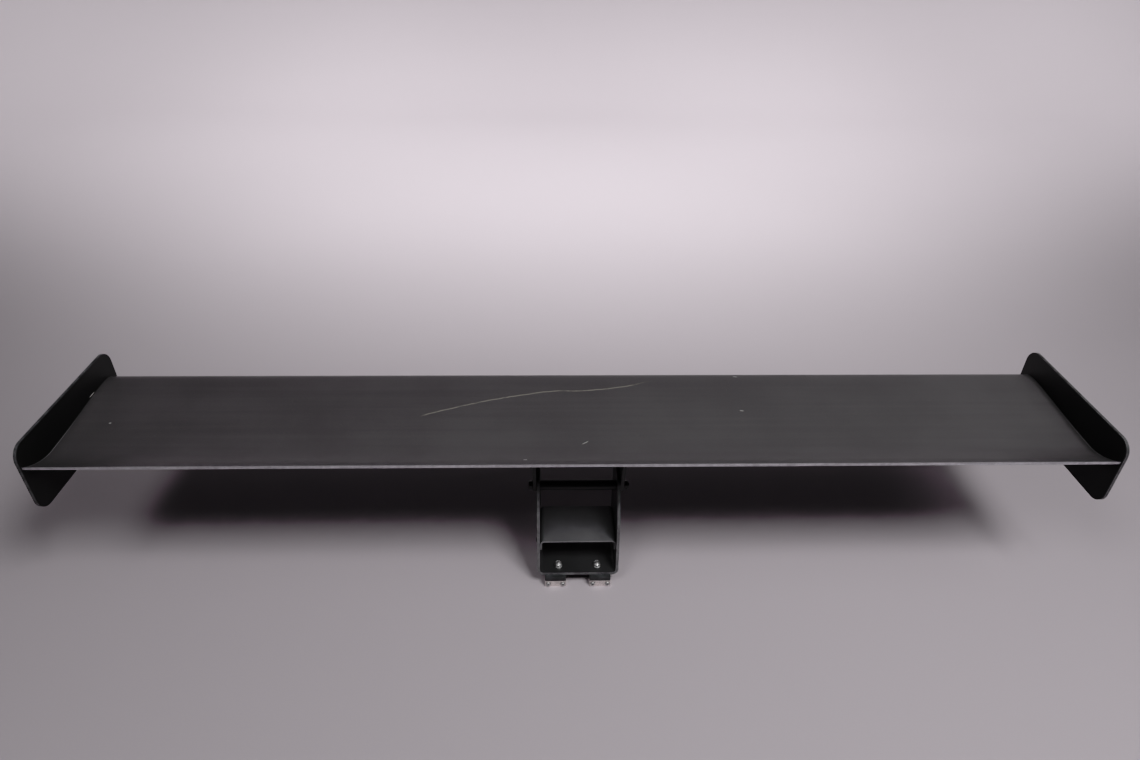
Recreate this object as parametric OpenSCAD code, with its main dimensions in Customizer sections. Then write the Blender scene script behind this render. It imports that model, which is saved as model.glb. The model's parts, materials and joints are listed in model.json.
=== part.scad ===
// Racing rear wing: one inverted aerofoil between two end plates, carried on a central
// U-section bracket with four clamping feet. +X runs across the span to the right, +Y points
// forwards (the trailing edge is at the rear, towards -Y) and +Z is up. The origin is on the
// ground under the middle of the end plates. Millimetres.

/* [Wing] */
// Span between the end plates' inner faces
span = 1500; // [900:10:1800]
// Length of the section, measured level from trailing edge to leading edge
chord = 244; // [200:2:320]
// Height of the trailing edge above the leading edge
te_lift = 15; // [0:1:30]
// Greatest depth of the section's mean line below its chord line
camber = 23.5; // [10:0.5:28]
// Greatest thickness of the section without its trailing edge
thickness = 29; // [26:0.5:40]
// Thickness of the trailing edge
te_t = 4; // [3:0.2:6]
// Wall of the moulded skins
skin_t = 2; // [1:0.1:2.5]
// Level depth of the bare strip that shows at the trailing edge
strip_d = 5; // [3:0.5:10]
// Outside diameter of the spar tube
spar_od = 19; // [12:0.5:20]
// Wall of the spar tube
spar_wall = 1.5; // [1:0.1:3]

/* [End plates] */
// Thickness of an end plate
plate_t = 4.5; // [3:0.1:8]
// Height of an end plate
plate_h = 110; // [90:1:220]
// Height of an end plate's top edge above the trailing edge
plate_over_te = 29; // [5:1:60]
// How far an end plate reaches behind the trailing edge
plate_behind = 2; // [1:0.5:40]
// How far an end plate reaches ahead of the leading edge
plate_ahead = 13; // [2:0.5:60]
// Corner radius of an end plate
plate_r = 22; // [5:1:40]
// Thread diameter of the end plate screws
plate_screw_d = 5; // [4:1:6]

/* [Bracket] */
// Outside width of the bracket
bracket_w = 127; // [100:1:180]
// Length of the bracket's base
base_l = 122; // [115:1:180]
// Wall of the bracket
wall = 4.6; // [3:0.1:6]
// Outside radius of the bracket's bends
bend_r = 10; // [7:0.5:16]
// Height of the pivot above the underside of the bracket
pivot_h = 137; // [115:1:220]
// Height of the trailing edge above the pivot
te_over_pivot = 111; // [90:1:200]
// Distance of the pivot ahead of the trailing edge
pivot_ahead = 84; // [60:1:110]
// Distance of the base's rear edge behind the pivot
base_behind_pivot = 57; // [50:1:90]
// Distance from the pivot to the incidence lock bolt
lock_arm = 46; // [40:1:60]
// Thread diameter of the pivot bolt and the lock bolt
main_bolt_d = 8; // [6:1:10]
// Outside diameter of the pivot's spacer tube
pivot_tube_od = 16; // [13:0.5:22]
// Outside diameter of the lock bolt's spacer tube
lock_tube_od = 14; // [13:0.5:20]
// Incidence travel each way from the middle of the slots, in degrees
travel = 8; // [2:1:10]

/* [Shelf] */
// Height of the shelf's top above the underside of the bracket
shelf_h = 59; // [40:1:80]
// Depth of the shelf from rear to front
shelf_d = 78; // [50:1:90]
// Wall of the shelf
shelf_t = 3; // [2:0.1:4]
// Depth of the shelf's turned-down ends
shelf_lip = 19; // [14:1:25]
// Distance of the shelf's rear edge ahead of the base's rear edge
shelf_inset = 15; // [12:1:30]

/* [Lugs] */
// Thickness of a lug's plate
lug_t = 5; // [3:0.1:8]
// Thickness of a lug's flange under the skin
flange_t = 3; // [2:0.1:5]
// Width of a lug's flange, with the plate
flange_w = 30; // [26:1:40]
// Side gap between a lug and the bracket
lug_gap = 0.5; // [0.2:0.1:2]

/* [Feet] */
// Width of a foot
foot_w = 33; // [28:1:40]
// Length of a foot
foot_l = 41; // [38:1:50]
// Height of a foot's spacer
spacer_h = 8; // [4:0.5:20]
// Height of a foot's clamp block
block_h = 12; // [11:0.5:20]
// Spacing of the foot bolts across the bracket
foot_bolt_dx = 61; // [50:1:80]
// Distance of the foot bolts from the ends of the base
foot_bolt_inset = 15; // [12:1:20]
// How far a foot's middle sits outboard of its bolt
foot_offset = 4.5; // [0:0.5:6]
// Diameter of the mounting rod that a clamp block takes
rod_d = 8; // [6:0.5:9]
// Thread diameter of the foot bolts
foot_bolt_d = 6; // [5:1:6]
// Thread diameter of the clamp screws
clamp_screw_d = 4; // [3:0.5:5]

/* [Hidden] */

$fn = 64;
cut = 2;            // how far a cutting shape runs past what it cuts
arc_step = 7.5;     // degrees between the points of a rounded outline
bolt_clear = 0.2;   // radial clearance of a bolt in its hole
thread_clear = 0.05; // radial gap between a thread and its nut or tapped hole
face_gap = 0.1;     // gap between faces that slide on each other
run_clear = 0.05;   // radial running clearance of the bushes

// Heights and places that follow from the driving dimensions
plate_l = plate_behind + chord + plate_ahead;
te_y = -plate_l / 2 + plate_behind;
base_z = spacer_h + block_h;
pivot_y = te_y + pivot_ahead;
pivot_z = base_z + pivot_h;
te_z = pivot_z + te_over_pivot;
plate_top = te_z + plate_over_te;
base_rear = pivot_y - base_behind_pivot;
base_front = base_rear + base_l;
inner_w = bracket_w - 2 * wall;

// The incidence lock sits ahead of the pivot and a little above it
lock_rise = 5;      // degrees above level, seen from the pivot
lock_y = pivot_y + lock_arm * cos(lock_rise);
lock_z = pivot_z + lock_arm * sin(lock_rise);

// Wing section: a mean line of two parabolas that meet at its lowest point, with a
// thickness that grows as a square root at the nose. s runs from 0 at the leading edge
// to 1 at the trailing edge.
camber_at = 0.75;
nose_end = 0.014;   // where the hollow inside begins
stations = 56;
tongue_start = station(46); // where the trailing edge strip's tongue begins
half_terms = [0.2969, -0.126, -0.3516, 0.2843, -0.1036];
strip_start = 1 - strip_d / chord;
function mean(s) = s < camber_at
  ? -camber / pow(camber_at, 2) * (2 * camber_at * s - s * s)
  : -camber / pow(1 - camber_at, 2) * (1 - 2 * camber_at + 2 * camber_at * s - s * s);
function half(s) = te_t / 2 * s + 5 * thickness * (half_terms[0] * sqrt(s) + half_terms[1] * s
  + half_terms[2] * pow(s, 2) + half_terms[3] * pow(s, 3) + half_terms[4] * pow(s, 4));
function place(s, h) = [te_y + (1 - s) * chord, te_z - te_t / 2 - te_lift * (1 - s) + mean(s) + h];
function station(i) = (1 - cos(180 * i / stations)) / 2;
function between(a, b) = concat([a],
  [for (i = [0 : stations]) if (station(i) > a && station(i) < b) station(i)], [b]);
function turned(list) = [for (i = [len(list) - 1 : -1 : 0]) list[i]];
// The line that lies a depth d inside the upper (side 1) or lower (side -1) surface
function skin_line(a, b, side, d) = [for (s = between(a, b)) place(s, side * (half(s) - d))];
// A closed outline from a to b, a depth d inside both surfaces
function slab(a, b, d) = concat(skin_line(a, b, 1, d), turned(skin_line(a, b, -1, d)));

// A convex outline round a chain of circles [y, z, r], listed anticlockwise
function leave_angle(a, b) = atan2(b[1] - a[1], b[0] - a[0])
  - acos((a[2] - b[2]) / norm([b[0] - a[0], b[1] - a[1]]));
function arc(c, from, to) = let (steps = max(1, ceil((to - from) / arc_step)))
  [for (i = [0 : steps]) let (a = from + (to - from) * i / steps)
    [c[0] + c[2] * cos(a), c[1] + c[2] * sin(a)]];
function ahead(a, b) = b < a ? ahead(a, b + 360) : b;
function wrap(chain) = let (n = len(chain)) [for (i = [0 : n - 1])
  let (
    before = leave_angle(chain[(i + n - 1) % n], chain[i]),
    after = ahead(before, leave_angle(chain[i], chain[(i + 1) % n]))
  ) each chain[i][2] > 0 ? arc(chain[i], before, after) : [[chain[i][0], chain[i][1]]]];
function rounded_box(x0, y0, x1, y1, r) =
  wrap([[x0 + r, y0 + r, r], [x1 - r, y0 + r, r], [x1 - r, y1 - r, r], [x0 + r, y1 - r, r]]);
// A sheet bent into a channel that opens upwards, with its floor at height 0
function channel(half_w, h, t, bend) = concat(
  [[-half_w + t, h], [-half_w, h]],
  arc([-half_w + bend, bend, bend], 180, 270),
  arc([half_w - bend, bend, bend], 270, 360),
  [[half_w, h], [half_w - t, h]],
  turned(arc([half_w - bend, bend, bend - t], 270, 360)),
  turned(arc([-half_w + bend, bend, bend - t], 180, 270)));

// Draws a [y, z] outline and sweeps it across X
module across(x0, x1) {
  translate([x0, 0, 0]) rotate([90, 0, 90]) linear_extrude(x1 - x0) children();
}
// Draws an [x, z] outline and sweeps it along Y
module along(y0, y1) {
  translate([0, y1, 0]) rotate([90, 0, 0]) linear_extrude(y1 - y0) children();
}
module rod_x(x0, x1, y, z, r) {
  translate([x0, y, z]) rotate([0, 90, 0]) cylinder(h = x1 - x0, r = r);
}
// Puts children, drawn for the right, at a side: -1 is left and 1 is right
module on_side(side) {
  if (side < 0) mirror([1, 0, 0]) children();
  else children();
}

// ---- Wing ----

module upper_skin() {
  color([0.13, 0.13, 0.135]) across(-span / 2, span / 2)
    polygon(concat(skin_line(0, strip_start, 1, 0), turned(skin_line(nose_end, strip_start, 1, skin_t)),
      [place(nose_end, 0)]));
}
module lower_skin() {
  color([0.12, 0.12, 0.125]) difference() {
    across(-span / 2, span / 2)
      polygon(concat(skin_line(0, strip_start, -1, 0), turned(skin_line(nose_end, strip_start, -1, skin_t)),
        [place(nose_end, 0)]));
    lug_screw_places() cylinder(h = 4 * skin_t, r = lug_screw_d / 2 + bolt_clear, center = true);
  }
}
module trailing_edge_strip() {
  color([0.62, 0.62, 0.64]) across(-span / 2, span / 2)
    polygon(concat(skin_line(tongue_start, strip_start, 1, skin_t), skin_line(strip_start, 1, 1, 0),
      turned(skin_line(strip_start, 1, -1, 0)), turned(skin_line(tongue_start, strip_start, -1, skin_t))));
}

spar_at = 0.3;
spar_c = place(spar_at, 0);
end_rib_t = 10;
mount_rib_t = 20;
middle_rib_t = 6;
module main_spar() {
  color([0.6, 0.6, 0.62]) difference() {
    rod_x(-span / 2 + end_rib_t, span / 2 - end_rib_t, spar_c[0], spar_c[1], spar_od / 2);
    rod_x(-span / 2, span / 2, spar_c[0], spar_c[1], spar_od / 2 - spar_wall);
  }
}
module rib_blank(x0, x1) {
  across(x0, x1) polygon(slab(nose_end, tongue_start, skin_t));
}
module spar_hole(x0, x1) {
  rod_x(x0 - cut, x1 + cut, spar_c[0], spar_c[1], spar_od / 2);
}

// Screws that hold an end plate, along the section's mean line
plate_screw_at = [0.12, 0.32, 0.54, 0.74];
plate_screw_l = 12;
function plate_screw_c(i) = place(plate_screw_at[i], 0);
module end_rib(side) {
  color([0.55, 0.55, 0.57]) on_side(side) difference() {
    rib_blank(span / 2 - end_rib_t, span / 2);
    for (i = [0 : len(plate_screw_at) - 1])
      rod_x(span / 2 - end_rib_t - cut, span / 2 + cut, plate_screw_c(i)[0], plate_screw_c(i)[1],
        plate_screw_d / 2 + thread_clear);
  }
}
middle_rib_x = (span / 2 + bracket_w / 2) / 2;
module middle_rib(side) {
  color([0.72, 0.58, 0.4]) on_side(side) difference() {
    rib_blank(middle_rib_x, middle_rib_x + middle_rib_t);
    spar_hole(middle_rib_x, middle_rib_x + middle_rib_t);
  }
}

// ---- End plates ----

module end_plate(side) {
  color([0.1, 0.1, 0.105]) on_side(side) difference() {
    across(span / 2, span / 2 + plate_t)
      polygon(rounded_box(-plate_l / 2, plate_top - plate_h, plate_l / 2, plate_top, plate_r));
    for (i = [0 : len(plate_screw_at) - 1])
      rod_x(span / 2 - cut, span / 2 + plate_t + cut, plate_screw_c(i)[0], plate_screw_c(i)[1],
        plate_screw_d / 2 + bolt_clear);
  }
}
// A button-head screw that points along -Z, with its seat at the origin
module button_screw(d, l) {
  head_r = 0.95 * d;
  head_h = 0.55 * d;
  socket_r = 0.3 * d;
  difference() {
    union() {
      translate([0, 0, -l]) cylinder(h = l, r = d / 2);
      cylinder(h = head_h, r1 = head_r, r2 = 0.65 * head_r);
    }
    translate([0, 0, head_h / 2]) cylinder(h = head_h, r = socket_r, $fn = 6);
  }
}
module end_plate_screws() {
  color([0.25, 0.25, 0.26]) for (side = [-1, 1], i = [0 : len(plate_screw_at) - 1])
    on_side(side) translate([span / 2 + plate_t, plate_screw_c(i)[0], plate_screw_c(i)[1]])
      rotate([0, 90, 0]) button_screw(plate_screw_d, plate_screw_l);
}

// ---- Lugs ----

lug_x = bracket_w / 2 + lug_gap;
flange_from = station(26);
flange_to = station(39);
lug_screw_d = 5;
lug_screw_l = 12;
lug_screw_at = [0.48, 0.6, 0.72];
lug_screw_x = lug_x + lug_t + (flange_w - lug_t) / 2;
mount_rib_x = lug_screw_x - mount_rib_t / 2;
slot_boss_r = 19;
bush_wall = 2;
bush_r = main_bolt_d / 2 + bush_wall;
boss_wall = 3.5;    // metal of a lug round its bush
pivot_boss_r = bush_r + boss_wall;
slot_clear = 0.3;   // gap round the lock bolt in a slot
slot_r = main_bolt_d / 2 + slot_clear;
slot_spare = 0.5;   // degrees the slots run on past the travel

function lower(s) = place(s, -half(s));
function lower_tilt(s) = let (a = lower(s - 0.01), b = lower(s + 0.01)) atan2(b[1] - a[1], a[0] - b[0]);
// Puts children at the lug screws, turned to stand square on the lower surface and moved out by gap
module lug_screw_places(gap = 0) {
  for (side = [-1, 1], s = lug_screw_at)
    on_side(side) translate([lug_screw_x, lower(s)[0], lower(s)[1]]) rotate([-lower_tilt(s), 0, 0])
      translate([0, 0, -gap * cos(lower_tilt(s))]) children();
}
// Outline of a lug's curved slot, with round ends
function slot_outline() = let (
    from = lock_rise - travel - slot_spare,
    to = lock_rise + travel + slot_spare,
    end = function(a) [pivot_y + lock_arm * cos(a), pivot_z + lock_arm * sin(a), slot_r]
  ) concat(
    arc([pivot_y, pivot_z, lock_arm + slot_r], from, to), arc(end(to), to, to + 180),
    turned(arc([pivot_y, pivot_z, lock_arm - slot_r], from, to)), arc(end(from), from + 180, from + 360));
skin_edge = skin_line(flange_from, flange_to, -1, 0);
// Outline of a lug's plate: round bosses below, and a top edge that follows the lower surface
function lug_outline() = let (
    bosses = wrap([[pivot_y, pivot_z, pivot_boss_r], [lock_y, lock_z, slot_boss_r],
      [lower(flange_from)[0], lower(flange_from)[1], 0], [lower(flange_to)[0], lower(flange_to)[1], 0]])
  ) concat([for (i = [0 : len(bosses) - 3]) bosses[i]], skin_edge);
module lug(side) {
  color([0.11, 0.11, 0.115]) on_side(side) difference() {
    union() {
      across(lug_x + lug_t, lug_x + flange_w)
        polygon(concat(skin_edge, turned([for (p = skin_edge) [p[0], p[1] - flange_t]])));
      across(lug_x, lug_x + lug_t) polygon(lug_outline());
    }
    rod_x(lug_x - cut, lug_x + lug_t + cut, pivot_y, pivot_z, bush_r);
    across(lug_x - cut, lug_x + lug_t + cut) polygon(slot_outline());
    lug_screw_places() cylinder(h = 6 * flange_t, r = lug_screw_d / 2 + bolt_clear, center = true);
  }
}
module lug_screws() {
  color([0.3, 0.3, 0.31]) lug_screw_places(flange_t) mirror([0, 0, 1])
    button_screw(lug_screw_d, lug_screw_l);
}
insert_r = 4;
insert_l = 10;
module mount_rib(side) {
  color([0.72, 0.58, 0.4]) on_side(side) difference() {
    rib_blank(mount_rib_x, mount_rib_x + mount_rib_t);
    spar_hole(mount_rib_x, mount_rib_x + mount_rib_t);
    lug_screw_places() translate([0, 0, -cut]) cylinder(h = insert_l + cut, r = insert_r);
  }
}
insert_lift = skin_t + 0.3; // the inserts sit a little inside the skin
module mount_inserts() {
  color("goldenrod") lug_screw_places() translate([0, 0, insert_lift]) difference() {
    cylinder(h = insert_l - insert_lift, r = insert_r);
    translate([0, 0, -cut]) cylinder(h = insert_l, r = lug_screw_d / 2 + thread_clear);
  }
}
module pivot_bush(side) {
  color("goldenrod") on_side(side) difference() {
    rod_x(lug_x, lug_x + lug_t, pivot_y, pivot_z, bush_r);
    rod_x(lug_x - cut, lug_x + lug_t + cut, pivot_y, pivot_z, main_bolt_d / 2 + run_clear);
  }
}

// ---- Bracket ----

boss_r = 17;
lock_boss_r = 15;
knee_r = 25;
knee_h = 88;
knee_lean = 12.5;     // how far the knee sits ahead of the base's rear edge
front_r = 8;
// Outline of a bracket side, seen from the left end of the wing
module side_outline() {
  polygon(wrap([[base_rear, base_z, 0], [base_front - front_r, base_z + front_r, front_r],
    [lock_y, lock_z, lock_boss_r], [pivot_y, pivot_z, boss_r],
    [base_rear + knee_lean + knee_r, base_z + knee_h, knee_r]]));
}
module bracket() {
  color([0.1, 0.1, 0.105]) difference() {
    intersection() {
      across(-bracket_w / 2 - cut, bracket_w / 2 + cut) side_outline();
      along(base_rear - cut, base_front + cut) translate([0, base_z])
        polygon(channel(bracket_w / 2, pivot_h + lock_arm, wall, bend_r));
    }
    rod_x(-bracket_w, bracket_w, pivot_y, pivot_z, main_bolt_d / 2 + bolt_clear);
    rod_x(-bracket_w, bracket_w, lock_y, lock_z, main_bolt_d / 2 + bolt_clear);
    shelf_rivet_places() rod_x(inner_w / 2 - cut, bracket_w / 2 + cut, 0, 0, rivet_r);
    foot_places() translate([0, 0, base_z - cut])
      cylinder(h = wall + 2 * cut, r = foot_bolt_d / 2 + bolt_clear);
  }
}

shelf_z = base_z + shelf_h;
shelf_rear = base_rear + shelf_inset;
shelf_bend = shelf_t + 4; // outside radius of the shelf's bends
rivet_r = 2.4;
rivet_inset = 14;
module shelf_rivet_places() {
  for (side = [-1, 1], y = [shelf_rear + rivet_inset, shelf_rear + shelf_d - rivet_inset])
    on_side(side) translate([0, y, shelf_z - shelf_lip / 2 - shelf_t / 2]) children();
}
module shelf() {
  color([0.16, 0.16, 0.165]) difference() {
    along(shelf_rear, shelf_rear + shelf_d) translate([0, shelf_z]) mirror([0, 1])
      polygon(channel(inner_w / 2, shelf_lip, shelf_t, shelf_bend));
    shelf_rivet_places() rod_x(inner_w / 2 - shelf_t - cut, inner_w / 2 + cut, 0, 0, rivet_r);
  }
}
module shelf_rivets() {
  head_r = 2 * rivet_r;
  head_h = 0.7 * rivet_r;
  tail_r = 1.5 * rivet_r;
  color([0.3, 0.3, 0.31]) shelf_rivet_places() {
    rod_x(inner_w / 2 - shelf_t, bracket_w / 2, 0, 0, rivet_r);
    translate([bracket_w / 2, 0, 0]) rotate([0, 90, 0]) cylinder(h = head_h, r1 = head_r, r2 = 0.6 * head_r);
    rod_x(inner_w / 2 - shelf_t - head_h, inner_w / 2 - shelf_t, 0, 0, tail_r);
  }
}

// ---- Pivot and incidence lock ----

// Stack outside a lug: its washer, then the bolt's head or its nut
washer_t = 1.6;
washer_x = lug_x + lug_t + face_gap;
seat_x = washer_x + washer_t;
hex_af = 1.625 * main_bolt_d;
hex_head_h = 0.66 * main_bolt_d;
nut_h = 0.8 * main_bolt_d;
thread_out = 1;
function hex_r(af) = af / 2 / cos(30);

module spacer_tube(y, z, od) {
  color([0.08, 0.08, 0.085]) difference() {
    rod_x(-inner_w / 2, inner_w / 2, y, z, od / 2);
    rod_x(-inner_w, inner_w, y, z, main_bolt_d / 2 + bolt_clear);
  }
}
// A hexagonal bolt with its head on the left and its threaded end on the right
module hex_bolt_x(y, z) {
  color([0.07, 0.07, 0.075]) {
    rod_x(-seat_x, seat_x + nut_h + thread_out, y, z, main_bolt_d / 2);
    translate([-seat_x - hex_head_h, y, z]) rotate([0, 90, 0])
      cylinder(h = hex_head_h, r = hex_r(hex_af), $fn = 6);
  }
}
module washer_pair(y, z) {
  washer_r = main_bolt_d;
  color([0.2, 0.2, 0.21]) for (side = [-1, 1]) on_side(side) difference() {
    rod_x(washer_x, seat_x, y, z, washer_r);
    rod_x(washer_x - cut, seat_x + cut, y, z, main_bolt_d / 2 + bolt_clear);
  }
}
// A lock nut: a hexagon with a round collar that holds its nylon ring
module lock_nut_x(y, z) {
  hex_h = 0.75 * nut_h;
  collar_r = 0.45 * hex_af;
  color([0.07, 0.07, 0.075]) difference() {
    union() {
      translate([seat_x, y, z]) rotate([0, 90, 0]) cylinder(h = hex_h, r = hex_r(hex_af), $fn = 6);
      rod_x(seat_x, seat_x + nut_h, y, z, collar_r);
    }
    rod_x(seat_x - cut, seat_x + nut_h + cut, y, z, main_bolt_d / 2 + thread_clear);
  }
}

// ---- Feet ----

foot_y = [base_rear + foot_bolt_inset, base_front - foot_bolt_inset];
foot_corner_r = 2;
block_corner_r = 1.2;
// Puts children at the four foot bolts; the feet point outboard
module foot_places() {
  for (side = [-1, 1], end = [0, 1]) foot_place(side, end) children();
}
// One foot's place: end 0 is at the rear, and the front feet are turned end for end
module foot_place(side, end) {
  on_side(side) translate([foot_bolt_dx / 2, foot_y[end], 0])
    if (end == 1) mirror([0, 1, 0]) children();
    else children();
}
// Outline of a foot, rounded at its corners, with the bolt at the origin
module foot_outline(r) {
  polygon(rounded_box(foot_offset - foot_w / 2, -foot_l / 2, foot_offset + foot_w / 2, foot_l / 2, r));
}
module foot_spacer(side, end) {
  color([0.12, 0.12, 0.125]) foot_place(side, end) difference() {
    translate([0, 0, block_h]) linear_extrude(spacer_h) foot_outline(foot_corner_r);
    translate([0, 0, block_h - cut]) cylinder(h = spacer_h + 2 * cut, r = foot_bolt_d / 2 + bolt_clear);
  }
}
cap_head_r = 5 / 6 * foot_bolt_d;
recess_gap = 0.5;
cap_recess_r = cap_head_r + recess_gap;
cap_recess_h = foot_bolt_d + recess_gap;
clamp_screw_dx = 23;
clamp_head_r = 0.875 * clamp_screw_d;
clamp_recess_r = clamp_head_r + recess_gap;
clamp_recess_h = 2;
rod_gap = 0.1;
rod_wall = 1.8;     // metal between the rod's bore and the bolt head's recess
rod_r = rod_d / 2 + rod_gap;
rod_y = -cap_recess_r - rod_r - rod_wall;
rod_z = block_h / 2;
// Distance from a clamp screw's seat to the rod's axis
rod_depth = foot_l / 2 - clamp_recess_h + rod_y;
// Puts children at the clamp screws' seats, pointing rearwards out of the foot's outer face
module clamp_screw_places() {
  for (x = [-clamp_screw_dx / 2, clamp_screw_dx / 2])
    translate([foot_offset + x, -foot_l / 2 + clamp_recess_h, rod_z]) rotate([90, 0, 0]) children();
}
module foot_block(side, end) {
  color([0.75, 0.75, 0.76]) foot_place(side, end) difference() {
    linear_extrude(block_h) foot_outline(block_corner_r);
    translate([0, 0, -cut]) cylinder(h = block_h + 2 * cut, r = foot_bolt_d / 2 + bolt_clear);
    translate([0, 0, -cut]) cylinder(h = cap_recess_h + cut, r = cap_recess_r);
    rod_x(foot_offset - foot_w, foot_offset + foot_w, rod_y, rod_z, rod_r);
    clamp_screw_places() {
      cylinder(h = clamp_recess_h + cut, r = clamp_recess_r);
      translate([0, 0, -rod_depth]) cylinder(h = rod_depth + cut, r = clamp_screw_d / 2 + thread_clear);
    }
  }
}
// A socket-head cap screw that points along -Z, with its seat at the origin
module cap_screw(d, l, head_r) {
  socket_r = 0.48 * d;
  difference() {
    union() {
      translate([0, 0, -l]) cylinder(h = l, r = d / 2);
      cylinder(h = d, r = head_r);
    }
    translate([0, 0, d / 2]) cylinder(h = d, r = socket_r, $fn = 6);
  }
}
foot_washer_t = 1.6;
foot_washer_r = foot_bolt_d + 0.25;
foot_nut_h = foot_bolt_d;
nut_seat_z = base_z + wall + foot_washer_t;
foot_hex_af = 5 / 3 * foot_bolt_d;
module foot_bolts() {
  bolt_l = nut_seat_z + foot_nut_h + thread_out - cap_recess_h;
  color([0.78, 0.78, 0.8]) foot_places()
    translate([0, 0, cap_recess_h]) mirror([0, 0, 1]) cap_screw(foot_bolt_d, bolt_l, cap_head_r);
}
module foot_washers() {
  color([0.8, 0.8, 0.82]) foot_places() translate([0, 0, nut_seat_z - foot_washer_t]) difference() {
    cylinder(h = foot_washer_t, r = foot_washer_r);
    translate([0, 0, -cut]) cylinder(h = foot_washer_t + 2 * cut, r = foot_bolt_d / 2 + bolt_clear);
  }
}
module foot_nuts() {
  hex_h = 0.72 * foot_nut_h;
  collar_r = 0.45 * foot_hex_af;
  color([0.8, 0.8, 0.82]) foot_places() translate([0, 0, nut_seat_z]) difference() {
    union() {
      cylinder(h = hex_h, r = hex_r(foot_hex_af), $fn = 6);
      cylinder(h = foot_nut_h, r = collar_r);
    }
    translate([0, 0, -cut]) cylinder(h = foot_nut_h + 2 * cut, r = foot_bolt_d / 2 + thread_clear);
  }
}
module clamp_screws() {
  color([0.85, 0.85, 0.87]) foot_places() clamp_screw_places()
    cap_screw(clamp_screw_d, rod_depth - rod_r, clamp_head_r);
}

upper_skin();
lower_skin();
trailing_edge_strip();
main_spar();
end_rib(-1);  // end_rib_left
end_rib(1);  // end_rib_right
middle_rib(-1);  // middle_rib_left
middle_rib(1);  // middle_rib_right
mount_rib(-1);  // mount_rib_left
mount_rib(1);  // mount_rib_right
mount_inserts();
end_plate(-1);  // end_plate_left
end_plate(1);  // end_plate_right
end_plate_screws();
lug(-1);  // lug_left
lug(1);  // lug_right
lug_screws();
pivot_bush(-1);  // pivot_bush_left
pivot_bush(1);  // pivot_bush_right
bracket();
shelf();
shelf_rivets();
spacer_tube(pivot_y, pivot_z, pivot_tube_od);  // pivot_tube
hex_bolt_x(pivot_y, pivot_z);  // pivot_bolt
washer_pair(pivot_y, pivot_z);  // pivot_washers
lock_nut_x(pivot_y, pivot_z);  // pivot_nut
spacer_tube(lock_y, lock_z, lock_tube_od);  // lock_tube
hex_bolt_x(lock_y, lock_z);  // lock_bolt
washer_pair(lock_y, lock_z);  // lock_washers
lock_nut_x(lock_y, lock_z);  // lock_nut
foot_spacer(-1, 0);  // foot_spacer_rear_left
foot_spacer(1, 0);  // foot_spacer_rear_right
foot_spacer(-1, 1);  // foot_spacer_front_left
foot_spacer(1, 1);  // foot_spacer_front_right
foot_block(-1, 0);  // foot_block_rear_left
foot_block(1, 0);  // foot_block_rear_right
foot_block(-1, 1);  // foot_block_front_left
foot_block(1, 1);  // foot_block_front_right
foot_bolts();
foot_washers();
foot_nuts();
clamp_screws();
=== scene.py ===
# Racing rear wing on its bracket, on a pale paper sweep under soft studio light.
# Metres, in the CAD frame: +X to the right along the span, +Y forwards, +Z up.
import json
import math

import bmesh
import bpy
from mathutils import Matrix, Vector

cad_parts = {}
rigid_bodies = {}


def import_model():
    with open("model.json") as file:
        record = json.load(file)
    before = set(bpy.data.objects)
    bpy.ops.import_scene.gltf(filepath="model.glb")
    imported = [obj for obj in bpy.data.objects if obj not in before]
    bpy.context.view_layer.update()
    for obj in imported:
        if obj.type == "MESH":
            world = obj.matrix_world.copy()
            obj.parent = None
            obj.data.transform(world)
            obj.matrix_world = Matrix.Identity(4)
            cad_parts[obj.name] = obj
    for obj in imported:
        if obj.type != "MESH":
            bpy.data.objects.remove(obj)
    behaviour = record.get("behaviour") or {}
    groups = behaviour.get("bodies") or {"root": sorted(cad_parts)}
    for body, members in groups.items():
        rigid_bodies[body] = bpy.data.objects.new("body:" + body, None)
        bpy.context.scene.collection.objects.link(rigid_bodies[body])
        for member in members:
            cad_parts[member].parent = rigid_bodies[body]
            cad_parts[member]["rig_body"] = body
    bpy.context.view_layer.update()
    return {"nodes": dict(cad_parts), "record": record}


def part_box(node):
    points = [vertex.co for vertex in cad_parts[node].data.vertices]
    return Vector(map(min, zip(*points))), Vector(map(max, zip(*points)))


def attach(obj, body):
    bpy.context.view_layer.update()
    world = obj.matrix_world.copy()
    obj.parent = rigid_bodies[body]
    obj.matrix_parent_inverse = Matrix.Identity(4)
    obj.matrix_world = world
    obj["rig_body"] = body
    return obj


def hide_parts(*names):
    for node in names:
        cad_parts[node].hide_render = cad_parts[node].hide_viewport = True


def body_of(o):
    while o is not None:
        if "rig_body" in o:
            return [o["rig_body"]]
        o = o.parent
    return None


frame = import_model()
NODES = frame["nodes"]
MM = 0.001


# ---- Shader nodes ----


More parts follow.
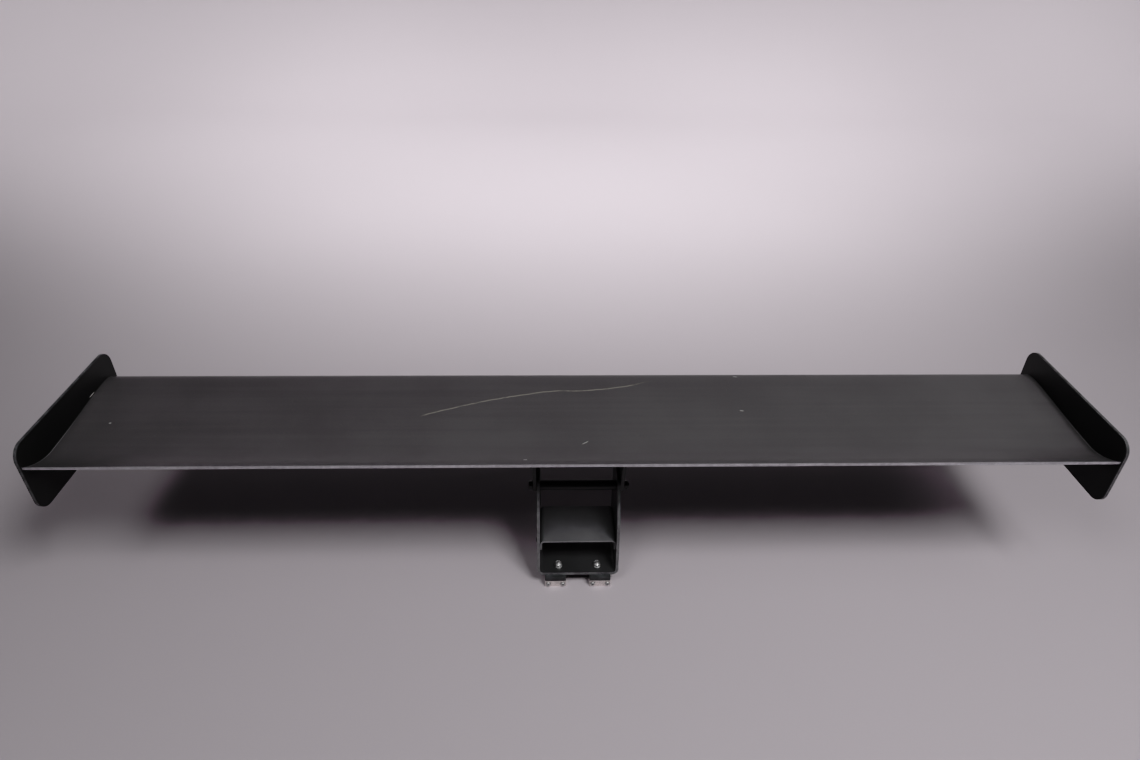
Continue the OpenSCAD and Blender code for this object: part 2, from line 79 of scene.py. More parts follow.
class Shader:
    """A Principled material whose textures are laid in the CAD frame."""

    def __init__(self, name, metallic=0.0, roughness=0.5, **settings):
        self.material = bpy.data.materials.new(name)
        self.material.use_nodes = True
        self.tree = self.material.node_tree
        self.bsdf = next(n for n in self.tree.nodes if n.type == "BSDF_PRINCIPLED")
        self.bsdf.inputs["Metallic"].default_value = metallic
        self.bsdf.inputs["Roughness"].default_value = roughness
        for socket, value in settings.items():
            self.bsdf.inputs[socket.replace("_", " ")].default_value = value
        self.place = self.node("ShaderNodeTexCoord").outputs["Object"]

    def node(self, kind, **settings):
        made = self.tree.nodes.new(kind)
        for key, value in settings.items():
            setattr(made, key, value)
        return made

    def feed(self, socket, value):
        """Links a socket to another one, or sets it to a plain value."""
        if isinstance(value, bpy.types.NodeSocket):
            self.tree.links.new(value, socket)
        else:
            socket.default_value = value

    def math(self, operation, *values, clamp=False):
        made = self.node("ShaderNodeMath", operation=operation, use_clamp=clamp)
        for socket, value in zip(made.inputs, values):
            self.feed(socket, value)
        return made.outputs[0]

    def axis(self, vector, name):
        """One component of a vector."""
        made = self.node("ShaderNodeSeparateXYZ")
        self.feed(made.inputs[0], vector)
        return made.outputs[name]

    def stretched(self, scale, turn=0.0):
        """Places scaled by a different amount on each axis, after a turn about Z."""
        made = self.node("ShaderNodeMapping")
        self.feed(made.inputs["Vector"], self.place)
        made.inputs["Rotation"].default_value = (0, 0, turn)
        made.inputs["Scale"].default_value = scale
        return made.outputs[0]

    def noise(self, scale, detail=3.0, rough=0.55, at=None):
        """Noise about a half, with scale in cycles to the metre."""
        made = self.node("ShaderNodeTexNoise")
        self.feed(made.inputs["Vector"], self.place if at is None else at)
        made.inputs["Scale"].default_value = scale
        made.inputs["Detail"].default_value = detail
        made.inputs["Roughness"].default_value = rough
        return made.outputs["Fac"]

    def remap(self, value, low, high, to_low=0.0, to_high=1.0):
        """A smooth step from to_low at low to to_high at high."""
        made = self.node("ShaderNodeMapRange", interpolation_type="SMOOTHSTEP")
        for socket, number in zip(made.inputs, (value, low, high, to_low, to_high)):
            self.feed(socket, number)
        return made.outputs[0]

    def mix(self, factor, a, b):
        """Blends two colours."""
        made = self.node("ShaderNodeMix", data_type="RGBA")
        self.feed(made.inputs[0], factor)
        self.feed(made.inputs[6], a)
        self.feed(made.inputs[7], b)
        return made.outputs[2]

    def spot(self, centre, size, turn=0.0):
        """1 inside an ellipse round a place, seen along one axis: size has a 0 for that axis."""
        moved = self.node("ShaderNodeVectorMath", operation="SUBTRACT")
        self.feed(moved.inputs[0], self.place)
        moved.inputs[1].default_value = centre
        turned = self.node("ShaderNodeVectorRotate", rotation_type="Z_AXIS")
        self.feed(turned.inputs["Vector"], moved.outputs[0])
        turned.inputs["Angle"].default_value = turn
        scaled = self.node("ShaderNodeVectorMath", operation="MULTIPLY")
        self.feed(scaled.inputs[0], turned.outputs[0])
        scaled.inputs[1].default_value = [1 / s if s else 0 for s in size]
        length = self.node("ShaderNodeVectorMath", operation="LENGTH")
        self.feed(length.inputs[0], scaled.outputs[0])
        wobble = self.math("MULTIPLY_ADD", self.noise(900), 1.2, -0.6)
        return self.remap(self.math("ADD", length.outputs["Value"], wobble), 1.1, 0.7)

    def bump(self, height, distance):
        """Raises the surface by a height map, over a distance in metres."""
        made = self.node("ShaderNodeBump")
        made.inputs["Strength"].default_value = 1.0
        made.inputs["Distance"].default_value = distance
        self.feed(made.inputs["Height"], height)
        self.feed(self.bsdf.inputs["Normal"], made.outputs[0])

    def colour(self, value):
        self.feed(self.bsdf.inputs["Base Color"], value)

    def roughness(self, value):
        self.feed(self.bsdf.inputs["Roughness"], value)


def grey(value, red=0.0, blue=0.0):
    """A grey whose red and blue may lean a share away from it."""
    return (value * (1 + red), value, value * (1 + blue), 1.0)


# ---- Materials ----

HALF_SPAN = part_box("upper_skin")[1].x
NICK_PLACE = (-HALF_SPAN, 0.056, 0.2588)  # on the left plate, just above the skin
NICK_SIZE = (0.003, 0.0085, 0.0011)
CHIPS = (  # on the wing's upper side: place, half lengths and turn
    ((-0.078, -0.098, 0), (0.0030, 0.0014, 0), 0.0),
    ((0.008, -0.055, 0), (0.0060, 0.0007, 0), -0.6),
    ((0.252, 0.016, 0), (0.0035, 0.0008, 0), 0.2),
    ((0.259, 0.104, 0), (0.0040, 0.0009, 0), 0.3),
    ((-0.695, -0.007, 0), (0.0017, 0.0013, 0), 0.0),
)
SCRATCH_FROM, SCRATCH_TO = -0.238, 0.113
SCRATCH_Y = (0.007, 0.026, 0.0425, 0.055, 0.0645, 0.066, 0.0735, 0.089)
SCRATCH_HALF_WIDTH = 0.0006


def wing_skin():
    """Satin charcoal laminate: faint spanwise streaks, dust, a long scratch and a few chips."""
    s = Shader("wing_skin_satin", IOR=1.45)
    streaks = s.noise(1.0, 4, 0.6, s.stretched((2.2, 95, 95)))
    blotches = s.noise(5.5, 4, 0.6)
    grain = s.noise(1400, 2, 0.7)
    tone = s.math("ADD", s.math("MULTIPLY", streaks, 0.4), s.math("MULTIPLY", blotches, 0.6))
    body = s.mix(s.remap(tone, 0.35, 0.65), grey(0.096, 0.04, 0.03), grey(0.112, 0.04, 0.03))
    body = s.mix(s.remap(grain, 0.45, 0.75, 0, 0.5), body, grey(0.148, 0.03, 0.02))

    # Dust and tiny nicks, thicker in some places than in others
    where = s.remap(s.noise(9, 3), 0.42, 0.7)
    specks = s.math("MULTIPLY", s.remap(s.noise(520, 1), 0.735, 0.79), where)
    hairs = s.remap(s.noise(1.0, 2, 0.5, s.stretched((26, 420, 420), 0.22)), 0.725, 0.77)
    hairs = s.math("MULTIPLY", hairs, s.remap(s.noise(6, 2), 0.5, 0.66))
    marks = s.math("ADD", s.math("MULTIPLY", specks, 0.5), s.math("MULTIPLY", hairs, 0.3), clamp=True)
    body = s.mix(marks, body, grey(0.24, 0.04, 0.0))

    # The long scratch: one smooth line across the upper side
    curve = s.node("ShaderNodeFloatCurve")
    points = curve.mapping.curves[0].points
    last = len(SCRATCH_Y) - 1
    low, high = min(SCRATCH_Y), max(SCRATCH_Y)
    for i, y in enumerate(SCRATCH_Y):
        spot = (i / last, (y - low) / (high - low))
        if i in (0, last):
            points[0 if i == 0 else -1].location = spot
        else:
            points.new(*spot)
    curve.mapping.update()
    x, y = s.axis(s.place, "X"), s.axis(s.place, "Y")
    along = s.math("DIVIDE", s.math("SUBTRACT", x, SCRATCH_FROM), SCRATCH_TO - SCRATCH_FROM)
    s.feed(curve.inputs["Value"], along)
    line = s.math("MULTIPLY_ADD", curve.outputs[0], high - low, low)
    wander = s.math("MULTIPLY_ADD", s.noise(70, 2), 0.003, -0.0015)
    away = s.math("ABSOLUTE", s.math("SUBTRACT", y, s.math("ADD", line, wander)))
    scratch = s.remap(away, 2.2 * SCRATCH_HALF_WIDTH, 0.6 * SCRATCH_HALF_WIDTH)
    inside = s.math("MULTIPLY", s.remap(along, -0.01, 0.03), s.remap(along, 1.02, 0.9))
    broken = s.remap(s.noise(48, 3, 0.7), 0.30, 0.55, 0.25, 1.0)
    upper = s.remap(s.axis(s.node("ShaderNodeNewGeometry").outputs["Normal"], "Z"), 0.2, 0.5)
    scratch = s.math("MULTIPLY", s.math("MULTIPLY", scratch, inside), s.math("MULTIPLY", broken, upper))
    body = s.mix(s.math("MULTIPLY", scratch, 0.8), body, grey(0.36, 0.08, -0.12))

    chips = 0.0
    for place, size, turn in CHIPS:
        chips = s.math("MAXIMUM", chips, s.spot(place, size, turn))
    chips = s.math("MULTIPLY", chips, upper)
    body = s.mix(chips, body, grey(0.55, 0.02, -0.02))

    # Painted highlight: the skins' ends are painted pale where they meet the end plates, towards the
    # trailing edge, for the light that the joint's edge catches
    end = s.remap(s.math("ABSOLUTE", x), HALF_SPAN - 0.0022, HALF_SPAN - 0.0008)
    end = s.math("MULTIPLY", end, s.remap(y, 0.02, -0.05))
    body = s.mix(s.math("MULTIPLY", end, 0.6), body, grey(0.30, 0.02, 0.02))
    s.colour(body)

    rubbed = s.math("MULTIPLY_ADD", tone, 0.16, 0.36)
    s.roughness(s.math("ADD", rubbed, s.math("MULTIPLY", marks, 0.2), clamp=True))
    height = s.math("ADD", s.math("MULTIPLY", grain, 0.6), s.math("MULTIPLY", streaks, 0.5))
    dents = s.math("ADD", s.math("MULTIPLY", scratch, -2.5), s.math("MULTIPLY", chips, -3.0))
    s.bump(s.math("ADD", height, dents), 0.00006)
    return s.material


def black_coat(name, low, high, roughness, edges=None, edge_tone=0.12, edge_gloss=0.0, nick=None):
    """Satin black coating with a fine orange-peel surface and scuffs. edges picks out a sheet's
    cut edges: an axis name with its sign, "-X" for normals away from X or "+Y" for along Y.
    nick is the place of one bare, chipped stroke, if there is one."""
    s = Shader(name)
    cloudy = s.noise(11, 4, 0.6)
    peel = s.noise(950, 2, 0.5)
    body = s.mix(s.remap(cloudy, 0.35, 0.65), grey(low, 0, 0.03), grey(high, 0, 0.03))
    scuffs = s.remap(s.noise(1.0, 3, 0.6, s.stretched((40, 310, 310), 0.5)), 0.68, 0.76)
    scuffs = s.math("MULTIPLY", scuffs, s.remap(s.noise(14, 2), 0.48, 0.66))
    body = s.mix(s.math("MULTIPLY", scuffs, 0.35), body, grey(0.13))
    rough = s.math("MULTIPLY_ADD", cloudy, 0.2, roughness - 0.1)
    if edges:
        normal = s.node("ShaderNodeNewGeometry").outputs["Normal"]
        share = s.math("ABSOLUTE", s.axis(normal, edges[1]))
        edge = s.remap(share, 0.95, 0.6) if edges[0] == "-" else s.remap(share, 0.35, 0.6)
        # The picked edges are painted paler: wear on the cut edges, and on the bracket and shelf also a
        # painted highlight along the rims
        rim_wear_and_highlight = s.math("MULTIPLY", edge, s.remap(s.noise(85, 4, 0.7), 0.32, 0.68, 0.4, 1.0))
        body = s.mix(rim_wear_and_highlight, body, grey(edge_tone, 0, 0.03))
        bare = s.math("MULTIPLY", edge, s.remap(s.noise(170, 3, 0.7), 0.68, 0.74))
        body = s.mix(s.math("MULTIPLY", bare, 0.6), body, grey(0.38))
        rough = s.math("MULTIPLY_ADD", edge, -edge_gloss, rough)
    if nick:
        body = s.mix(s.spot(nick, NICK_SIZE), body, grey(0.62, 0.02, -0.02))
    s.colour(body)
    s.roughness(rough)
    s.bump(s.math("ADD", peel, s.math("MULTIPLY", scuffs, -1.2)), 0.00005)
    return s.material


def bare_metal(name, dark, light, roughness, grain_scale, tint=(0.0, 0.0)):
    """Bare or plated metal with a drawn or machined grain, stains and small dents."""
    s = Shader(name, metallic=1.0)
    lines = s.noise(1.0, 3, 0.6, s.stretched(grain_scale))
    stains = s.noise(120, 4, 0.65)
    tone = s.math("ADD", s.math("MULTIPLY", lines, 0.6), s.math("MULTIPLY", stains, 0.4))
    body = s.mix(s.remap(tone, 0.36, 0.64), grey(dark, *tint), grey(light, *tint))
    dirt = s.remap(s.noise(260, 4, 0.7), 0.6, 0.78)
    body = s.mix(s.math("MULTIPLY", dirt, 0.5), body, grey(dark * 0.35, *tint))
    s.colour(body)
    s.roughness(s.math("MULTIPLY_ADD", tone, 0.35, roughness - 0.17, clamp=True))
    s.bump(s.math("ADD", lines, s.math("MULTIPLY", dirt, -0.6)), 0.00004)
    return s.material


def wood():
    """Birch plywood: growth lines across the ply with darker glue lines."""
    s = Shader("ply_birch", roughness=0.7)
    rings = s.noise(1.0, 4, 0.6, s.stretched((700, 26, 90)))
    body = s.mix(s.remap(rings, 0.3, 0.7), (0.42, 0.27, 0.13, 1), (0.62, 0.44, 0.24, 1))
    s.colour(body)
    s.bump(rings, 0.0001)
    return s.material


def rubber():
    """Dark grey moulded plastic of the foot spacers, dusty in patches."""
    s = Shader("foot_spacer_plastic")
    fine = s.noise(600, 3, 0.6)
    dust = s.remap(s.noise(70, 4, 0.65), 0.35, 0.7)
    s.colour(s.mix(dust, grey(0.045, -0.03, 0.03), grey(0.085, -0.03, 0.03)))
    s.roughness(s.math("MULTIPLY_ADD", dust, 0.25, 0.42))
    s.bump(fine, 0.00008)
    return s.material


PAPER_LOW = (0.588, 0.538, 0.575, 1)
PAPER_HIGH = (0.605, 0.554, 0.592, 1)


def paper():
    """Pale seamless paper, very faintly uneven, with fine fibres."""
    s = Shader("studio_paper", roughness=0.9)
    uneven = s.noise(0.8, 2, 0.5)
    fibres = s.noise(400, 3, 0.6)
    tone = s.math("MULTIPLY_ADD", fibres, 0.5, s.math("MULTIPLY", uneven, 0.5))
    s.colour(s.mix(s.remap(tone, 0.3, 0.7), PAPER_LOW, PAPER_HIGH))
    s.bump(fibres, 0.00005)
    return s.material


END_PLATE_COAT = (0.0075, 0.0115, 0.50, "-X", 0.13)

LOOKS = {
    "wing_skin": wing_skin(),
    "edge_strip": bare_metal("edge_strip_worn", 0.50, 0.82, 0.42, (30, 900, 900), (0.0, 0.04)),
    "inner_alloy": bare_metal("inner_alloy_mill", 0.42, 0.62, 0.4, (12, 500, 500)),
    "ply": wood(),
    "brass": bare_metal("brass_turned", 0.30, 0.46, 0.32, (900, 60, 60), (0.45, -0.5)),
    "end_plate": black_coat("end_plate_satin", *END_PLATE_COAT),
    "lug": black_coat("lug_satin", 0.009, 0.013, 0.40, "-X", 0.02),
    # The bracket's cut rims are painted pale: partly wear, partly a painted highlight along the rims
    "bracket": black_coat("bracket_powder_coat", 0.044, 0.060, 0.38, "+Y", 0.20, 0.14),
    "black_fastener": black_coat("fastener_black_oxide", 0.010, 0.018, 0.34),
    "foot_spacer": rubber(),
    "foot_block": bare_metal("foot_block_machined", 0.62, 0.92, 0.46, (700, 40, 700), (0.06, -0.03)),
    "bright_fastener": bare_metal("fastener_zinc", 0.50, 0.74, 0.46, (400, 400, 60)),
}
LEFT_PLATE_LOOK = black_coat("end_plate_satin_nicked", *END_PLATE_COAT, nick=NICK_PLACE)
# The shelf has the bracket's powder coat, painted lighter as a painted sheen for the light it catches
# at its angle, with its rims painted pale as on the bracket
SHELF_PAINTED_SHEEN_LOOK = black_coat("shelf_powder_coat_painted_sheen", 0.115, 0.145, 0.44, "+Y", 0.27, 0.1)
slot_of = {row["node"]: row["material_slot"] for row in frame["record"]["subparts"]}


def dress(thing, node):
    """Gives an object the finish that the record names for a CAD node."""
    look = LOOKS[slot_of[node]]
    # The shelf gets the bracket coat painted lighter as a painted sheen, and the left plate a copy with
    # its nick
    look = {"shelf": SHELF_PAINTED_SHEEN_LOOK, "end_plate_left": LEFT_PLATE_LOOK}.get(node, look)
    thing.data.materials.clear()
    thing.data.materials.append(look)


# ---- CAD nodes: softened edges and smooth shading ----

MERGE = 1e-6  # metres between points that are taken as one
FLAT_ANGLE = math.radians(0.3)  # facets that differ by less are joined
BEVEL_ANGLE = math.radians(32)  # edges sharper than this are rounded
SMOOTH_ANGLE = math.radians(28)  # edges of turned pieces flatter than this are smooth
EDGE_RADIUS = {  # metres; other nodes keep their edges
    "bracket": 0.0010,
    "shelf": 0.0006,
    "end_plate_left": 0.0008,
    "end_plate_right": 0.0008,
    "lug_left": 0.0005,
    "lug_right": 0.0005,
    "lug_screws": 0.0002,
    "pivot_tube": 0.0003,
    "lock_tube": 0.0003,
}
for end in ("front", "rear"):
    for side in ("left", "right"):
        EDGE_RADIUS[f"foot_spacer_{end}_{side}"] = 0.0006
        EDGE_RADIUS[f"foot_block_{end}_{side}"] = 0.0004


def soften(thing, radius):
    """Welds the imported facets, rounds the sharp edges and evens out the normals."""
    for face in thing.data.polygons:
        face.use_smooth = True
    weld = thing.modifiers.new("weld", "WELD")
    weld.merge_threshold = MERGE
    if radius:
        flat = thing.modifiers.new("flat", "DECIMATE")
        flat.decimate_type = "DISSOLVE"
        flat.angle_limit = FLAT_ANGLE
        rounded = thing.modifiers.new("rounded", "BEVEL")
        rounded.width = radius
        rounded.segments = 2
        rounded.limit_method = "ANGLE"
        rounded.angle_limit = BEVEL_ANGLE
    even = thing.modifiers.new("even", "WEIGHTED_NORMAL")
    even.keep_sharp = True
    even.weight = 90


for name, thing in NODES.items():
    dress(thing, name)
    soften(thing, EDGE_RADIUS.get(name, 0.0))


# ---- Fasteners: turned pieces, built ring by ring ----

SEGMENTS = 72  # round each turned piece


def islands(node):
    """Boxes of a node's separate solids, each as (lowest corner, highest corner)."""
    bm = bmesh.new()
    bm.from_mesh(NODES[node].data)
    bmesh.ops.remove_doubles(bm, verts=bm.verts, dist=MERGE)
    left, found = set(bm.verts), []
    while left:
        queue = [left.pop()]
        low, high = queue[0].co.copy(), queue[0].co.copy()
        while queue:
            vertex = queue.pop()
            low = Vector(map(min, low, vertex.co))
            high = Vector(map(max, high, vertex.co))
            for edge in vertex.link_edges:
                other = edge.other_vert(vertex)
                if other in left:
                    left.remove(other)
                    queue.append(other)
        found.append((low, high))
    bm.free()
    return sorted(found, key=lambda box: tuple(round(v, 4) for v in box[0]))


def hexagon(across_flats):
    """Radius of a hexagon at an angle, with a corner at 30 degrees."""
    sixth = math.radians(60)
    return lambda angle: across_flats / 2 / math.cos((angle + sixth / 2) % sixth - sixth / 2)


def steady(radius):
    return lambda angle: radius


def knurled(radius, ridges, depth):
    return lambda angle: radius - depth * (0.5 + 0.5 * math.cos(ridges * angle))


class Turned:
    """A closed piece made of rings. Each ring has a radius and a height at every angle; a ring
    of no radius closes the piece at a point."""

    def __init__(self):
        self.rings = []

    def ring(self, radius, height):
        self.rings.append((
            radius if callable(radius) else steady(radius),
            height if callable(height) else steady(height),
        ))
        return self

    def chamfered_hex(self, across_flats, height, sign=1):
        """A hexagonal wall's end whose corners are turned away at 30 degrees."""
        shape, inner = hexagon(across_flats), 0.475 * across_flats
        slope = math.tan(math.radians(30))
        self.ring(shape, lambda a: height - sign * slope * max(0.0, shape(a) - inner))
        return self

    def thread(self, start, stop, diameter, pitch):
        """A helical thread from one height to another."""
        depth = 0.5 * pitch
        steps = max(2, round(abs(stop - start) / pitch * 8))
        for i in range(steps + 1):
            height = start + (stop - start) * i / steps

            def radius(angle, h=height):
                turn = (h / pitch - angle / math.tau) % 1
                return diameter / 2 - depth * (1 - abs(2 * turn - 1))

            self.ring(radius, height)
        return self

    def socket(self, across_flats, top, depth):
        """A hexagonal socket, closed by a shallow drilled cone."""
        shape = hexagon(across_flats)
        self.ring(lambda a: shape(a) * 1.06, top).ring(shape, top - 0.05 * depth)
        self.ring(shape, top - depth).ring(0, top - 1.15 * depth)
        return self

    def add_to(self, bm, place, loop=False):
        rows = []
        for radius, height in self.rings:
            if radius(0.0) == 0:
                rows.append([bm.verts.new(place @ Vector((0, 0, height(0.0))))])
                continue
            row = []
            for i in range(SEGMENTS):
                a = math.tau * i / SEGMENTS
                r = radius(a)
                row.append(bm.verts.new(place @ Vector((r * math.cos(a), r * math.sin(a), height(a)))))
            rows.append(row)
        pairs = list(zip(rows, rows[1:])) + ([(rows[-1], rows[0])] if loop else [])
        for a, b in pairs:
            for i in range(SEGMENTS):
                j = (i + 1) % SEGMENTS
                corners = [a[i % len(a)], a[j % len(a)], b[j % len(b)], b[i % len(b)]]
                bm.faces.new(list(dict.fromkeys(corners)))


def finish_piece(name, bm, node):
    """Turns a bmesh into the piece that stands for a CAD node."""
    bmesh.ops.recalc_face_normals(bm, faces=bm.faces)
    for edge in bm.edges:
        edge.smooth = edge.calc_face_angle(0.0) < SMOOTH_ANGLE
    for face in bm.faces:
        face.smooth = True
    mesh = bpy.data.meshes.new(name)
    bm.to_mesh(mesh)
    bm.free()
    piece = bpy.data.objects.new(name, mesh)
    bpy.context.scene.collection.objects.link(piece)
    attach(piece, body_of(NODES[node])[0])
    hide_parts(node)
    dress(piece, node)


def towards(direction, point):
    """Matrix that stands a turned piece at a point, with its height along a direction."""
    return Matrix.Translation(point) @ Vector(direction).to_track_quat("Z", "Y").to_matrix().to_4x4()


def centre(box):
    return (box[0] + box[1]) / 2


def stand(name, node, build, direction, loop=False):
    """Builds one turned piece for each of a node's solids. Heights count from the solid's low
    end along the direction, and build(piece, solid's box) adds the rings."""
    bm = bmesh.new()
    for box in islands(node):
        way = Vector(direction(box))
        length = abs((box[1] - box[0]).dot(way))
        piece = Turned()
        build(piece, box, length)
        piece.add_to(bm, towards(way, centre(box) - way * length / 2), loop)
    finish_piece(name, bm, node)


RIGHT, UP = (1, 0, 0), (0, 0, 1)
MAIN_THREAD, FOOT_THREAD = 0.00125, 0.001  # pitches
BUSH_WALL = 2 * MM
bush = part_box("pivot_bush_left")
main_d = bush[1].y - bush[0].y - 2 * BUSH_WALL
foot_d, foot_flats, foot_collar, foot_head_r = 6 * MM, 10 * MM, 4.5 * MM, 5 * MM
clamp_d, clamp_head_r, clamp_pitch = 4 * MM, 3.5 * MM, 0.7 * MM
plate_screw_d, plate_screw_pitch = 5 * MM, 0.8 * MM
nut_gap, washer_gap = 0.1 * MM, 0.4 * MM  # bores over the bolts' diameters
foot_ridges, clamp_ridges = 36, 24  # of the knurls
nut_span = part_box("pivot_nut")[1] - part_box("pivot_nut")[0]
main_flats = min(nut_span.y, nut_span.z)
head_h = 0.66 * main_d


def hex_bolt(piece, box, length):
    """Head at the low end, threaded tip at the high end."""
    rim = 0.46 * main_flats
    piece.ring(0, 0.0003).ring(0.7 * rim, 0.0003).ring(0.74 * rim, 0).ring(rim, 0)
    piece.chamfered_hex(main_flats, 0, -1).ring(hexagon(main_flats), head_h - 0.0003)
    piece.ring(rim, head_h).ring(main_d / 2, head_h).ring(main_d / 2, length - 0.014)
    piece.thread(length - 0.013, length - 0.0008, main_d, MAIN_THREAD)
    piece.ring(0.4 * main_d, length).ring(0, length)


def lock_nut(flats, bore, collar):
    """Hexagon below, round collar above with its nylon ring turned in."""

    def build(piece, box, length):
        hex_h = 0.73 * length
        piece.ring(bore / 2, 0.0004).ring(bore / 2 + 0.0004, 0).ring(0.47 * flats, 0)
        piece.chamfered_hex(flats, 0, -1).chamfered_hex(flats, hex_h)
        piece.ring(collar, hex_h + 0.0002).ring(collar, length - 0.0006)
        piece.ring(collar - 0.0006, length).ring(bore / 2 + 0.0007, length)
        piece.ring(bore / 2 + 0.0004, length - 0.0004).ring(bore / 2, length - 0.0008)

    return build


def washer(bore):
    def build(piece, box, length):
        outer = max((box[1] - box[0])) / 2
        soft = 0.18 * length
        piece.ring(bore / 2, 0).ring(outer - soft, 0).ring(outer, soft).ring(outer, length - soft)
        piece.ring(outer - soft, length).ring(bore / 2, length)

    return build


def cap_screw(diameter, head_r, pitch, ridges):
    """Shank at the low end; knurled head with its hexagonal socket at the high end."""

    def build(piece, box, length):
        bottom = length - diameter
        piece.ring(0, 0).ring(0.38 * diameter, 0)
        piece.thread(0.1 * diameter, bottom - 0.15 * diameter, diameter, pitch)
        piece.ring(diameter / 2, bottom)
        knurl = knurled(head_r, ridges, 0.022 * diameter)
        piece.ring(head_r - 0.0003, bottom).ring(knurl, bottom + 0.0003)
        piece.ring(knurl, length - 0.16 * diameter)
        piece.ring(head_r - 0.02 * diameter, length - 0.12 * diameter)
        piece.ring(head_r - 0.12 * diameter, length)
        piece.socket(0.83 * diameter, length, 0.5 * diameter)

    return build


def button_screw(piece, box, length):
    """Domed head with a socket at the high end."""
    d = plate_screw_d
    head_r, dome_h = 0.95 * d, 0.55 * d
    bottom = length - dome_h
    piece.ring(0, 0).ring(0.4 * d, 0).thread(0.1 * d, bottom - 0.1 * d, d, plate_screw_pitch)
    piece.ring(d / 2, bottom).ring(head_r - 0.0002, bottom)
    steps = 6
    for i in range(steps + 1):
        a = math.radians(8 + 52 * i / steps)
        radius = head_r * math.cos(a) / math.cos(math.radians(8))
        rise = dome_h * math.sin(a - math.radians(7)) / math.sin(math.radians(53))
        piece.ring(radius, bottom + rise)
    piece.socket(0.52 * d, length, 0.45 * dome_h)


def rivet(piece, box, length):
    """Blind rivet: a domed head outside and an upset tail inside."""
    shank, head, tail = 2.4 * MM, 4.8 * MM, 3.6 * MM
    cap, bulb = 1.6 * MM, 1.6 * MM
    piece.ring(0, 0.0004).ring(0.35 * tail, 0.0001).ring(0.8 * tail, 0.0002).ring(tail, 0.35 * bulb)
    piece.ring(tail, 0.7 * bulb).ring(0.9 * tail, bulb).ring(shank, bulb).ring(shank, length - cap)
    for share in (1.0, 0.93, 0.78, 0.55):
        piece.ring(head * share, length - cap * (0.15 + 0.85 * share ** 4))
    piece.ring(0.28 * head, length - 0.0001).ring(0.26 * head, length - 0.0005)
    piece.ring(0.1 * head, length - 0.0006).ring(0, length - 0.0006)


def right(box):
    return RIGHT


def up(box):
    return UP


def outwards(box):
    return (math.copysign(1, centre(box).x), 0, 0)


def down(box):
    return (0, 0, -1)


def off_the_ends(box):
    middle = centre(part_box("bracket")).y
    return (0, math.copysign(1, centre(box).y - middle), 0)


for hinge in ("pivot", "lock"):
    stand(f"{hinge}_bolt_turned", f"{hinge}_bolt", hex_bolt, right)
    nut = lock_nut(main_flats, main_d + nut_gap, 0.45 * main_flats)
    stand(f"{hinge}_nut_turned", f"{hinge}_nut", nut, right, loop=True)
    stand(f"{hinge}_washers_turned", f"{hinge}_washers", washer(main_d + washer_gap), right, loop=True)
foot_nut = lock_nut(foot_flats, foot_d + nut_gap, foot_collar)
stand("foot_nuts_turned", "foot_nuts", foot_nut, up, loop=True)
stand("foot_washers_turned", "foot_washers", washer(foot_d + washer_gap), up, loop=True)
foot_bolt = cap_screw(foot_d, foot_head_r, FOOT_THREAD, foot_ridges)
stand("foot_bolts_turned", "foot_bolts", foot_bolt, down)
clamp_screw = cap_screw(clamp_d, clamp_head_r, clamp_pitch, clamp_ridges)
stand("clamp_screws_turned", "clamp_screws", clamp_screw, off_the_ends)
stand("end_plate_screws_turned", "end_plate_screws", button_screw, outwards)
stand("shelf_rivets_turned", "shelf_rivets", rivet, outwards)


# ---- Paper sweep ----


def paper_sweep():
    """A level floor that curves up into a wall well behind the object."""
    half_width, near, bend_at, bend_r, top = 6.0, -5.0, 2.6, 1.6, 5.0
    cells, steps = 12, 24
    profile = [(near, 0.0)] + [(bend_at * i / cells, 0.0) for i in range(-cells, cells + 1)]
    for i in range(1, steps + 1):
        a = math.radians(90 * i / steps)
        profile.append((bend_at + bend_r * math.sin(a), bend_r * (1 - math.cos(a))))
    profile.append((bend_at + bend_r, top))
    columns = [half_width * (i / cells) for i in range(-cells, cells + 1)]
    bm = bmesh.new()
    grid = [[bm.verts.new((x, y, z)) for x in columns] for y, z in profile]
    for a, b in zip(grid, grid[1:]):
        for i in range(len(columns) - 1):
            bm.faces.new((a[i], a[i + 1], b[i + 1], b[i]))
    for face in bm.faces:
        face.smooth = True
    mesh = bpy.data.meshes.new("paper_sweep")
    bm.to_mesh(mesh)
    bm.free()
    sheet = bpy.data.objects.new("paper_sweep", mesh)
    bpy.context.scene.collection.objects.link(sheet)
    sheet.data.materials.append(paper())


paper_sweep()


# ---- Light ----

# name, place, what it points at, width, height, watts, spread in degrees
LIGHTS = [
    ("soft_left", (-0.9, -1.2, 2.4), (-0.4, 0.0, 0.0), 0.8, 0.8, 10.1, 180),
    ("soft_right", (0.9, -1.2, 2.4), (0.4, 0.0, 0.0), 0.8, 0.8, 34.1, 180),
    ("soft_far_right", (1.9, -0.7, 2.1), (0.3, 0.1, 0.2), 1.2, 1.2, 5.8, 180),
    ("back_left", (-1.2, 1.2, 2.4), (-1.0, 2.75, 0.3), 1.0, 0.8, 15.8, 90),
    ("back_right", (1.2, 1.2, 2.4), (1.0, 2.75, 0.3), 1.0, 0.8, 15.8, 90),
    ("back_low", (0.0, 0.5, 1.6), (0.0, 1.4, 0.0), 2.0, 0.4, 6.5, 80),
    ("corner_left", (-3.1, 2.4, 2.3), (-3.3, 3.3, 0.0), 1.6, 1.6, 15, 120),
    ("corner_right", (3.1, 2.4, 2.3), (3.3, 3.3, 0.0), 1.6, 1.6, 18, 120),
]
WORLD_STRENGTH = 0.008


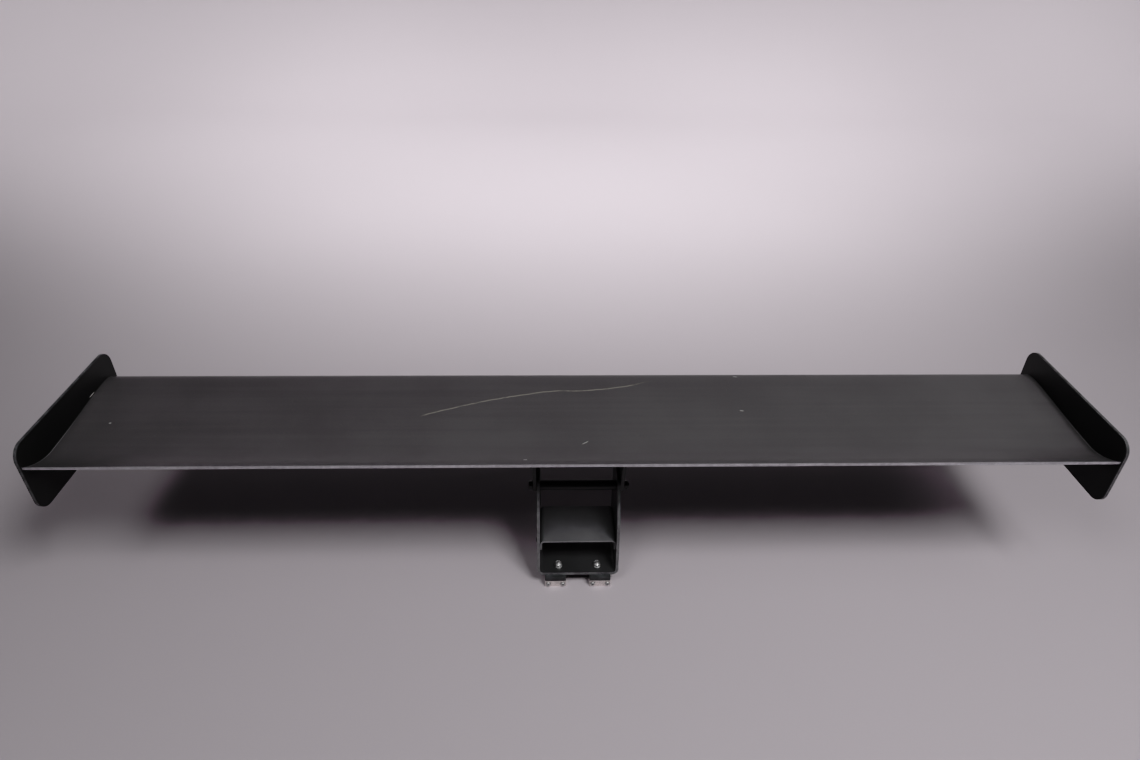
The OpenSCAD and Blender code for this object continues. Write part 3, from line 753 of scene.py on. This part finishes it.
def area_light(name, place, target, width, height, watts, spread):
    """A rectangular soft box that points at a place."""
    data = bpy.data.lights.new(name, "AREA")
    data.shape = "RECTANGLE"
    data.size, data.size_y = width, height
    data.energy = watts
    data.spread = math.radians(spread)
    lamp = bpy.data.objects.new(name, data)
    bpy.context.scene.collection.objects.link(lamp)
    lamp.location = place
    way = Vector(target) - Vector(place)
    lamp.rotation_euler = way.to_track_quat("-Z", "Y").to_euler()


for settings in LIGHTS:
    area_light(*settings)

world = bpy.data.worlds.new("studio")
bpy.context.scene.world = world
world.use_nodes = True
backdrop = world.node_tree.nodes["Background"]
backdrop.inputs["Color"].default_value = (0.95, 0.94, 0.96, 1)
backdrop.inputs["Strength"].default_value = WORLD_STRENGTH

# A tone curve with a soft toe: it deepens the shadows and leaves tones over a fifth as they are
TOE = ((0.012, 0.0045), (0.042, 0.020), (0.07, 0.058), (0.12, 0.117), (0.2, 0.2))
screen = bpy.context.scene.view_settings
screen.view_transform = "Standard"
screen.use_curve_mapping = True
all_channels = screen.curve_mapping.curves[3]
for tone_in, tone_out in TOE:
    all_channels.points.new(tone_in, tone_out)
screen.curve_mapping.update()


# ---- Camera ----

# The camera stands behind and above the middle of the trailing edge, and a little to the left
low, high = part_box("trailing_edge_strip")
CAMERA_LEFT, CAMERA_BEHIND, CAMERA_ABOVE = 0.0431, 0.7955, 0.6718
PITCH, ROLL, YAW = math.radians(33.8), math.radians(0.88), math.radians(-1.82)
camera = bpy.data.objects.new("camera", bpy.data.cameras.new("camera"))
bpy.context.scene.collection.objects.link(camera)
camera.data.sensor_width = 36
camera.data.lens = 24
camera.data.clip_start = 0.02
stand_at = ((low.x + high.x) / 2 - CAMERA_LEFT, low.y - CAMERA_BEHIND, high.z + CAMERA_ABOVE)
camera.matrix_world = (
    Matrix.Translation(stand_at)
    @ Matrix.Rotation(YAW, 4, "Z")
    @ Matrix.Rotation(math.pi / 2 - PITCH, 4, "X")
    @ Matrix.Rotation(ROLL, 4, "Z")
)
bpy.context.scene.camera = camera
